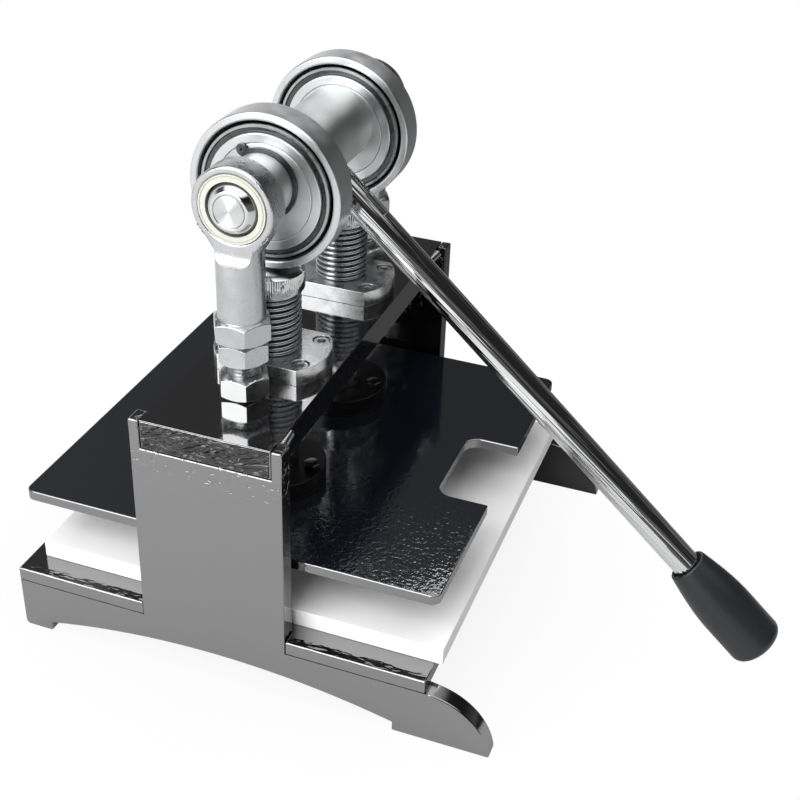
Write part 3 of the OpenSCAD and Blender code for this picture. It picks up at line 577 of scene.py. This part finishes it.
# Ground bearing steel: smoother than the shaft, with the same round grain.
bearing_steel, tree, shader = new_finish(
    "ground_bearing_steel", Base_Color=linear("#d2d4d5"), Metallic=1.0, Anisotropic=0.75,
    Anisotropic_Rotation=0.25)
place = add_node(tree, "ShaderNodeTexCoord")
lathe_way = add_node(tree, "ShaderNodeTangent", {"direction_type": "RADIAL", "axis": "X"})
smear = add_node(
    tree, "ShaderNodeTexNoise", {"Scale": 1 / 0.009, "Detail": 4.0},
    {"Vector": place.outputs["Object"]})
vary_gloss(tree, shader, smear, smooth=0.27, rough=0.37)
tree.links.new(lathe_way.outputs[0], shader.inputs["Tangent"])

# Pressed sheet: satin, with random smears of grease. Its sunk inner band is darker, and where it
# runs down into the gap at its rim it is painted near black, a painted shade for the deep gap.
pressed_sheet, tree, shader = new_finish("pressed_steel_sheet", Metallic=1.0)
place = add_node(tree, "ShaderNodeTexCoord")
grease = add_node(
    tree, "ShaderNodeTexNoise", {"Scale": 1 / 0.008, "Detail": 4.0, "Distortion": 0.6},
    {"Vector": place.outputs["Object"]})
bearing = 0.5 * sum(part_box("left_bearing_outer"), Vector())
square_on = add_node(
    tree, "ShaderNodeVectorMath", {"operation": "MULTIPLY", 1: (0, 1, 1)},
    {0: place.outputs["Object"]})
radius = add_node(
    tree, "ShaderNodeVectorMath", {"operation": "DISTANCE", 1: (0, bearing.y, bearing.z)},
    {0: square_on.outputs[0]})
# Darker below this radius, on the sunk inner band.
past_dark_band = add_node(
    tree, "ShaderNodeMapRange", {"From Min": 0.0322, "From Max": 0.0328},
    {"Value": radius.outputs["Value"]})
dark_tint = add_node(
    tree, "ShaderNodeMix", {"data_type": "RGBA", 6: linear("#3c3f3f"), 7: linear("#6c6f6f")},
    {0: grease.outputs["Fac"]})
light_tint = add_node(
    tree, "ShaderNodeMix", {"data_type": "RGBA", 6: linear("#8d9090"), 7: linear("#bcbfbe")},
    {0: grease.outputs["Fac"]})
shield_tint = add_node(
    tree, "ShaderNodeMix", {"data_type": "RGBA"},
    {0: past_dark_band.outputs[0], 6: dark_tint.outputs[2], 7: light_tint.outputs[2]})
# Painted shade: near black where the shield runs down into the gap at its rim.
gap_shade_mask = add_node(
    tree, "ShaderNodeMapRange", {"From Min": 0.0342, "From Max": 0.0344},
    {"Value": radius.outputs["Value"]})
tint = add_node(
    tree, "ShaderNodeMix", {"data_type": "RGBA", 7: linear("#101111")},
    {0: gap_shade_mask.outputs[0], 6: shield_tint.outputs[2]})
vary_gloss(tree, shader, grease, smooth=0.20, rough=0.42)
tree.links.new(tint.outputs[2], shader.inputs["Base Color"])


def turned_ring(outline, centre, steps=128):
    """Spins a closed outline of (radius, along X) points once round the X axis through centre."""
    bm = bmesh.new()
    points = [bm.verts.new(centre + Vector((x, 0, r))) for r, x in outline]
    edges = [bm.edges.new((a, b)) for a, b in zip(points, points[1:] + points[:1])]
    bmesh.ops.spin(
        bm, geom=points + edges, cent=centre, axis=(1, 0, 0), angle=2 * math.pi, steps=steps,
        use_merge=True)
    bmesh.ops.remove_doubles(bm, verts=bm.verts, dist=1e-6)
    bmesh.ops.recalc_face_normals(bm, faces=bm.faces)
    return bm


lip_w, groove_r, groove_x = 0.0038, 0.0044, 0.0024
# Half of a shield from its rim to its bore and back, as radius and depth below its face
shield_points = (
    (0.03615, 0.0034), (0.0346, 0.0034), (0.0342, 0.0003), (0.0339, 0), (0.0327, 0),
    (0.0324, 0.0004), (0.0322, 0.0011), (0.0302, 0.0013), (0.0302, 0.0018), (0.0318, 0.0020),
    (0.0340, 0.0040), (0.03615, 0.0040))
shield_sink = 0.0005
for side in ("left", "right"):
    low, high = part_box(side + "_bearing_outer")
    centre = 0.5 * (low + high)
    half = 0.5 * (high.x - low.x)
    rim = 0.5 * (high.z - low.z)
    ring_outline = [
        (rim, -half), (rim, half), (rim - lip_w, half), (rim - groove_r, half - groove_x),
        (rim - groove_r, groove_x - half), (rim - lip_w, -half)]
    ring = keep_piece(
        side + "_outer_ring", turned_ring(ring_outline, centre), bearing_steel, side + "_bearing")
    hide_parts(side + "_bearing_outer")
    ease_edges(ring, width=0.0009)

    shields = bmesh.new()
    for way in (-1, 1):
        outline = [(r, way * (half - shield_sink - below)) for r, below in shield_points]
        one = turned_ring(outline, centre)
        part = bpy.data.meshes.new("shield")
        one.to_mesh(part)
        one.free()
        shields.from_mesh(part)
        bpy.data.meshes.remove(part)
    pair = keep_piece(
        side + "_shield_pair", shields, pressed_sheet, side + "_bearing")
    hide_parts(side + "_bearing_shields")

    eased_copy(side + "_bearing_inner", bearing_steel, "shaft", width=0.0007)
    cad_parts[side + "_bearing_balls"].material_slots[0].material = polished
    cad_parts[side + "_bearing_cage"].material_slots[0].material = pressed_sheet

# Rod ends
# Forged and zinc plated rod ends that hold the shaft: an eye on a round shank with a hexagon foot.
# Each eye has a moulded liner round a polished ball.

# Bearing polymer: cream, with a satin skin. The wall of the gap round the ball is painted darker, a
# painted shade for the deep narrow gap.
liner_polymer, tree, shader = new_finish("cream_bearing_polymer", Roughness=0.38, IOR=1.5)
place = add_node(tree, "ShaderNodeTexCoord")
cloud = add_node(
    tree, "ShaderNodeTexNoise", {"Scale": 1 / 0.003, "Detail": 3.0},
    {"Vector": place.outputs["Object"]})
tint = add_node(
    tree, "ShaderNodeMix", {"data_type": "RGBA", 6: linear("#c2c2b8"), 7: linear("#cfcfc6")},
    {0: cloud.outputs["Fac"]})
eye_low, eye_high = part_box("left_rod_end_ball")
square_on = add_node(
    tree, "ShaderNodeVectorMath", {"operation": "MULTIPLY", 1: (0, 1, 1)},
    {0: place.outputs["Object"]})
radius = add_node(
    tree, "ShaderNodeVectorMath",
    {"operation": "DISTANCE", 1: (0, shaft_y, 0.5 * (eye_low.z + eye_high.z))},
    {0: square_on.outputs[0]})
# Painted shade: below this radius, the wall of the gap round the ball takes a dark grey colour.
beyond_shaded_wall = add_node(
    tree, "ShaderNodeMapRange", {"From Min": 0.01352, "From Max": 0.01365},
    {"Value": radius.outputs["Value"]})
tint = add_node(
    tree, "ShaderNodeMix", {"data_type": "RGBA", 6: linear("#77776f")},
    {0: beyond_shaded_wall.outputs[0], 7: tint.outputs[2]})
tree.links.new(tint.outputs[2], shader.inputs["Base Color"])

race_r, hexagon_h, eye_reach, hexagon_share = 0.01436, 0.013, 0.0205, 0.25
# Half of the liner's face from its rim to its bore, as radius and depth, and half of its race
lip_points = (
    (0.0166, 0), (0.0164, 0.0005), (0.0161, 0.0005), (0.0159, 0), (0.0137, 0), (0.0135, 0.0003))
race = [(math.sqrt(race_r ** 2 - x ** 2), x) for x in (0.0048, 0.0032, 0.0016, 0)]
for side in ("left", "right"):
    hexagon_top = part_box(side + "_rod_end")[0].z + hexagon_h
    eye_edge = 0.5 * sum(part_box(side + "_rod_end_ball"), Vector()).z - eye_reach
    eased_copy(
        side + "_rod_end", zinc, "frame", width=0.0013, segments=4,
        chosen=lambda low, high: hexagon_share if high < hexagon_top else low > eye_edge)

    low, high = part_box(side + "_rod_end_liner")
    centre = 0.5 * (low + high)
    rim, half = 0.5 * (high.z - low.z), 0.5 * (high.x - low.x)
    outline = [(rim, half)] + [(r, half - below) for r, below in lip_points] + race
    outline += [(r, -x) for r, x in reversed(outline[:-1])]
    liner = keep_piece(
        side + "_lipped_liner", turned_ring(outline, centre, steps=96), liner_polymer, "frame")
    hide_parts(side + "_rod_end_liner")
    eased_copy(side + "_rod_end_ball", polished, "shaft", width=0.0006)

# Anchor bolts and nuts
# A bolt through each end of the crossbar carries a rod end. A seat nut clamps it to the bar
# and a jam nut locks the rod end.

# Bright plate on the nut: whiter and smoother than the zinc beside it.
bright_nut, tree, shader = new_finish(
    "bright_plated_nut", Base_Color=linear("#d5d6d6"), Metallic=1.0)
place = add_node(tree, "ShaderNodeTexCoord")
smear = add_node(
    tree, "ShaderNodeTexNoise", {"Scale": 1 / 0.008, "Detail": 4.0},
    {"Vector": place.outputs["Object"]})
vary_gloss(tree, shader, smear, smooth=0.15, rough=0.28)

thread_pitch, thread_r, core_r, thread_steps, head_chamfer = 0.002, 0.0080, 0.0069, 36, 0.0010
# One turn of the thread from root to crest to root, as radius and height
flank_points = (
    (core_r, 0), (core_r, 0.00035), (thread_r, 0.0009),
    (thread_r, 0.0011), (core_r, 0.00165), (core_r, thread_pitch))
for side in ("left", "right"):
    eased_copy(side + "_jam_nut", zinc, "frame", width=0.00012, segments=2)
    eased_copy(side + "_seat_nut", bright_nut, "frame", width=0.00012, segments=2)
    low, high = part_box(side + "_anchor_bolt")
    stem_l, head_h = high.z - bar_low.z, bar_low.z - low.z
    centre = Vector((0.5 * (low.x + high.x), 0.5 * (low.y + high.y), 0))
    bm = bmesh.new()
    flank = [bm.verts.new(centre + Vector((r, 0, bar_low.z + z))) for r, z in flank_points]
    edges = [bm.edges.new((a, b)) for a, b in zip(flank, flank[1:])]
    turns = int(stem_l / thread_pitch) - 1
    bmesh.ops.spin(
        bm, geom=flank + edges, cent=centre, axis=(0, 0, 1),
        dvec=(0, 0, thread_pitch / thread_steps), angle=2 * math.pi * turns,
        steps=thread_steps * turns)
    bmesh.ops.remove_doubles(bm, verts=bm.verts, dist=2e-5)
    bmesh.ops.holes_fill(bm, edges=[e for e in bm.edges if e.is_boundary])
    core = Matrix.Translation(centre + Vector((0, 0, 0.5 * (high.z + bar_low.z))))
    bmesh.ops.create_cone(
        bm, cap_ends=True, segments=48, radius1=core_r, radius2=core_r, depth=stem_l, matrix=core)
    half_w = 0.5 * (high.x - low.x)
    head_r = half_w / math.cos(math.radians(30)) if 2 * half_w < high.y - low.y else half_w
    under_bar = Matrix.Translation(centre + Vector((0, 0, 0.5 * (low.z + bar_low.z))))
    under_bar @= Matrix.Rotation(math.radians(30), 4, "Z")
    head = bmesh.ops.create_cone(
        bm, cap_ends=True, segments=6, radius1=head_r, radius2=head_r, depth=head_h,
        matrix=under_bar)
    head_edges = list({e for v in head["verts"] for e in v.link_edges})
    bmesh.ops.bevel(
        bm, geom=head_edges, offset=head_chamfer, affect="EDGES", segments=3, profile=0.5,
        material=-1)
    bmesh.ops.recalc_face_normals(bm, faces=bm.faces)
    bolt = keep_piece(side + "_threaded_bolt", bm, zinc, "frame")
    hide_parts(side + "_anchor_bolt")

# Lever
# A chrome plated rod screwed into the shaft, with two wrench flats near its root
# and a moulded plastic grip pushed on its end.

# Chrome plate: a mirror, with die lines along the rod that split its reflections into streaks.
chrome, tree, shader = new_finish("bright_chrome_plate", Base_Color=linear("#dcdddd"), Metallic=1.0)
place = add_node(tree, "ShaderNodeTexCoord")
smear = add_node(
    tree, "ShaderNodeTexNoise", {"Scale": 1 / 0.015, "Detail": 4.0},
    {"Vector": place.outputs["Object"]})
vary_gloss(tree, shader, smear, smooth=0.03, rough=0.09)
lever_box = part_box("lever_rod")
slope = math.atan2(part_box("main_shaft")[0].z - lever_box[0].z, shaft_y - lever_box[0].y)
die_lines = add_node(
    tree, "ShaderNodeMapping",
    {"vector_type": "TEXTURE", "Rotation": (slope, 0, 0), "Scale": (1, 200, 1)},
    {"Vector": place.outputs["Object"]})
streak = add_node(
    tree, "ShaderNodeTexNoise", {"Scale": 1 / 0.0026, "Detail": 2.0},
    {"Vector": die_lines.outputs[0]})
bump = add_node(
    tree, "ShaderNodeBump", {"Strength": 0.60, "Distance": 0.0018},
    {"Height": streak.outputs["Fac"]})
tree.links.new(bump.outputs[0], shader.inputs["Normal"])

# Moulded plastic: black and satin, with a faint grain.
grip_plastic, tree, shader = new_finish(
    "moulded_black_plastic", Base_Color=linear("#1d1f21"), IOR=1.5)
place = add_node(tree, "ShaderNodeTexCoord")
grain = add_node(
    tree, "ShaderNodeTexNoise", {"Scale": 1 / 0.0012, "Detail": 2.0},
    {"Vector": place.outputs["Object"]})
vary_gloss(tree, shader, grain, smooth=0.32, rough=0.44)
bump = add_node(
    tree, "ShaderNodeBump", {"Strength": 0.15, "Distance": 0.00006},
    {"Height": grain.outputs["Fac"]})
tree.links.new(bump.outputs[0], shader.inputs["Normal"])

eased_copy("lever_rod", chrome, "shaft", width=0.0002)
eased_copy("lever_grip", grip_plastic, "shaft", width=0.0007)

# Studio
# A plain white sheet under a soft overhead light, with one large soft box behind the camera.
# The room beyond the sheet is dark, which the black coat and the bright metal mirror.
sheet_side, sheet_end, mirror_share = 1.6, 0.17, 0.05
bm = bmesh.new()
bmesh.ops.create_grid(bm, x_segments=1, y_segments=1, size=sheet_side)
bmesh.ops.translate(bm, verts=bm.verts, vec=(sheet_end - sheet_side, shaft_y, 0))
floor_mesh = bpy.data.meshes.new("studio_floor")
bm.to_mesh(floor_mesh)
bm.free()
floor = bpy.data.objects.new("studio_floor", floor_mesh)
bpy.context.scene.collection.objects.link(floor)
paper = bpy.data.materials.new("white_studio_paper")
paper.use_nodes = True
tree = paper.node_tree
tree.nodes.remove(tree.nodes["Principled BSDF"])
light_path = add_node(tree, "ShaderNodeLightPath")
place = add_node(tree, "ShaderNodeTexCoord")
off_part = add_node(
    tree, "ShaderNodeVectorMath", {"operation": "DISTANCE", 1: (0, shaft_y, 0)},
    {0: place.outputs["Object"]})
bare = add_node(
    tree, "ShaderNodeMapRange",
    {"interpolation_type": "SMOOTHSTEP", "From Min": 0.12, "From Max": 0.25,
     "To Min": 0.9, "To Max": 1.0},
    {"Value": off_part.outputs["Value"]})
seen = add_node(
    tree, "ShaderNodeMath", {"operation": "MULTIPLY"},
    {0: light_path.outputs["Is Camera Ray"], 1: bare.outputs[0]})
mirrored = add_node(
    tree, "ShaderNodeMath", {"operation": "MAXIMUM"},
    {0: light_path.outputs["Is Glossy Ray"], 1: light_path.outputs["Is Transmission Ray"]})
share = add_node(
    tree, "ShaderNodeMath", {"operation": "MULTIPLY_ADD", 1: mirror_share},
    {0: mirrored.outputs[0], 2: seen.outputs[0]})
sheet = add_node(tree, "ShaderNodeBsdfDiffuse", {"Color": linear("#d4d4d4")})
white = add_node(tree, "ShaderNodeEmission", {"Color": linear("#ffffff"), "Strength": 1.0})
blend = add_node(
    tree, "ShaderNodeMixShader",
    links={0: share.outputs[0], 1: sheet.outputs[0], 2: white.outputs[0]})
tree.links.new(blend.outputs[0], tree.nodes["Material Output"].inputs["Surface"])
floor_mesh.materials.append(paper)

world = bpy.data.worlds.new("studio_room")
bpy.context.scene.world = world
world.use_nodes = True
tree = world.node_tree
tree.nodes.remove(tree.nodes["Background"])
look = add_node(tree, "ShaderNodeTexCoord")
way = add_node(tree, "ShaderNodeSeparateXYZ", links={0: look.outputs["Generated"]})
low_sky = add_node(
    tree, "ShaderNodeMapRange",
    {"interpolation_type": "SMOOTHSTEP", "From Min": 0.10, "From Max": 0.46,
     "To Min": 0.95, "To Max": 0.0},
    {"Value": way.outputs["Z"]})
wall = add_node(
    tree, "ShaderNodeMapRange",
    {"interpolation_type": "SMOOTHSTEP", "From Min": 0.0, "From Max": 0.45, "To Min": 0.13},
    {"Value": way.outputs["Y"]})
overhead = add_node(
    tree, "ShaderNodeMapRange",
    {"interpolation_type": "SMOOTHSTEP", "From Min": 0.66, "From Max": 0.80,
     "To Min": 0.0, "To Max": 1.5},
    {"Value": way.outputs["Z"]})
gloom = add_node(
    tree, "ShaderNodeMapRange", {"From Min": -0.2, "From Max": 0.7, "To Min": 0.02, "To Max": 0.10},
    {"Value": way.outputs["Y"]})
lit = add_node(
    tree, "ShaderNodeMath", {"operation": "MULTIPLY_ADD"},
    {0: low_sky.outputs[0], 1: wall.outputs[0], 2: overhead.outputs[0]})
brightness = add_node(
    tree, "ShaderNodeMath", {"operation": "ADD"}, {0: lit.outputs[0], 1: gloom.outputs[0]})
light_path = add_node(tree, "ShaderNodeLightPath")
room = add_node(
    tree, "ShaderNodeBackground", {"Color": linear("#ffffff")}, {"Strength": brightness.outputs[0]})
backdrop = add_node(tree, "ShaderNodeBackground", {"Color": linear("#ffffff"), "Strength": 1.0})
blend = add_node(
    tree, "ShaderNodeMixShader",
    links={0: light_path.outputs["Is Camera Ray"], 1: room.outputs[0], 2: backdrop.outputs[0]})
tree.links.new(blend.outputs[0], tree.nodes["World Output"].inputs["Surface"])

# The soft box stands behind the camera and shines down on the frame.
soft_box = bpy.data.objects.new("soft_box", bpy.data.lights.new("soft_box", "AREA"))
soft_box.data.size = 1.55
soft_box.data.energy = 37.0
spot = Vector((-1.40, shaft_y + 0.48, 1.04))
aim = Vector((0, shaft_y, 0.13)) - spot
facing = aim.to_track_quat("-Z", "Y").to_matrix().to_4x4()
soft_box.matrix_world = Matrix.Translation(spot) @ facing
bpy.context.scene.collection.objects.link(soft_box)

bpy.context.scene.view_settings.view_transform = "Standard"
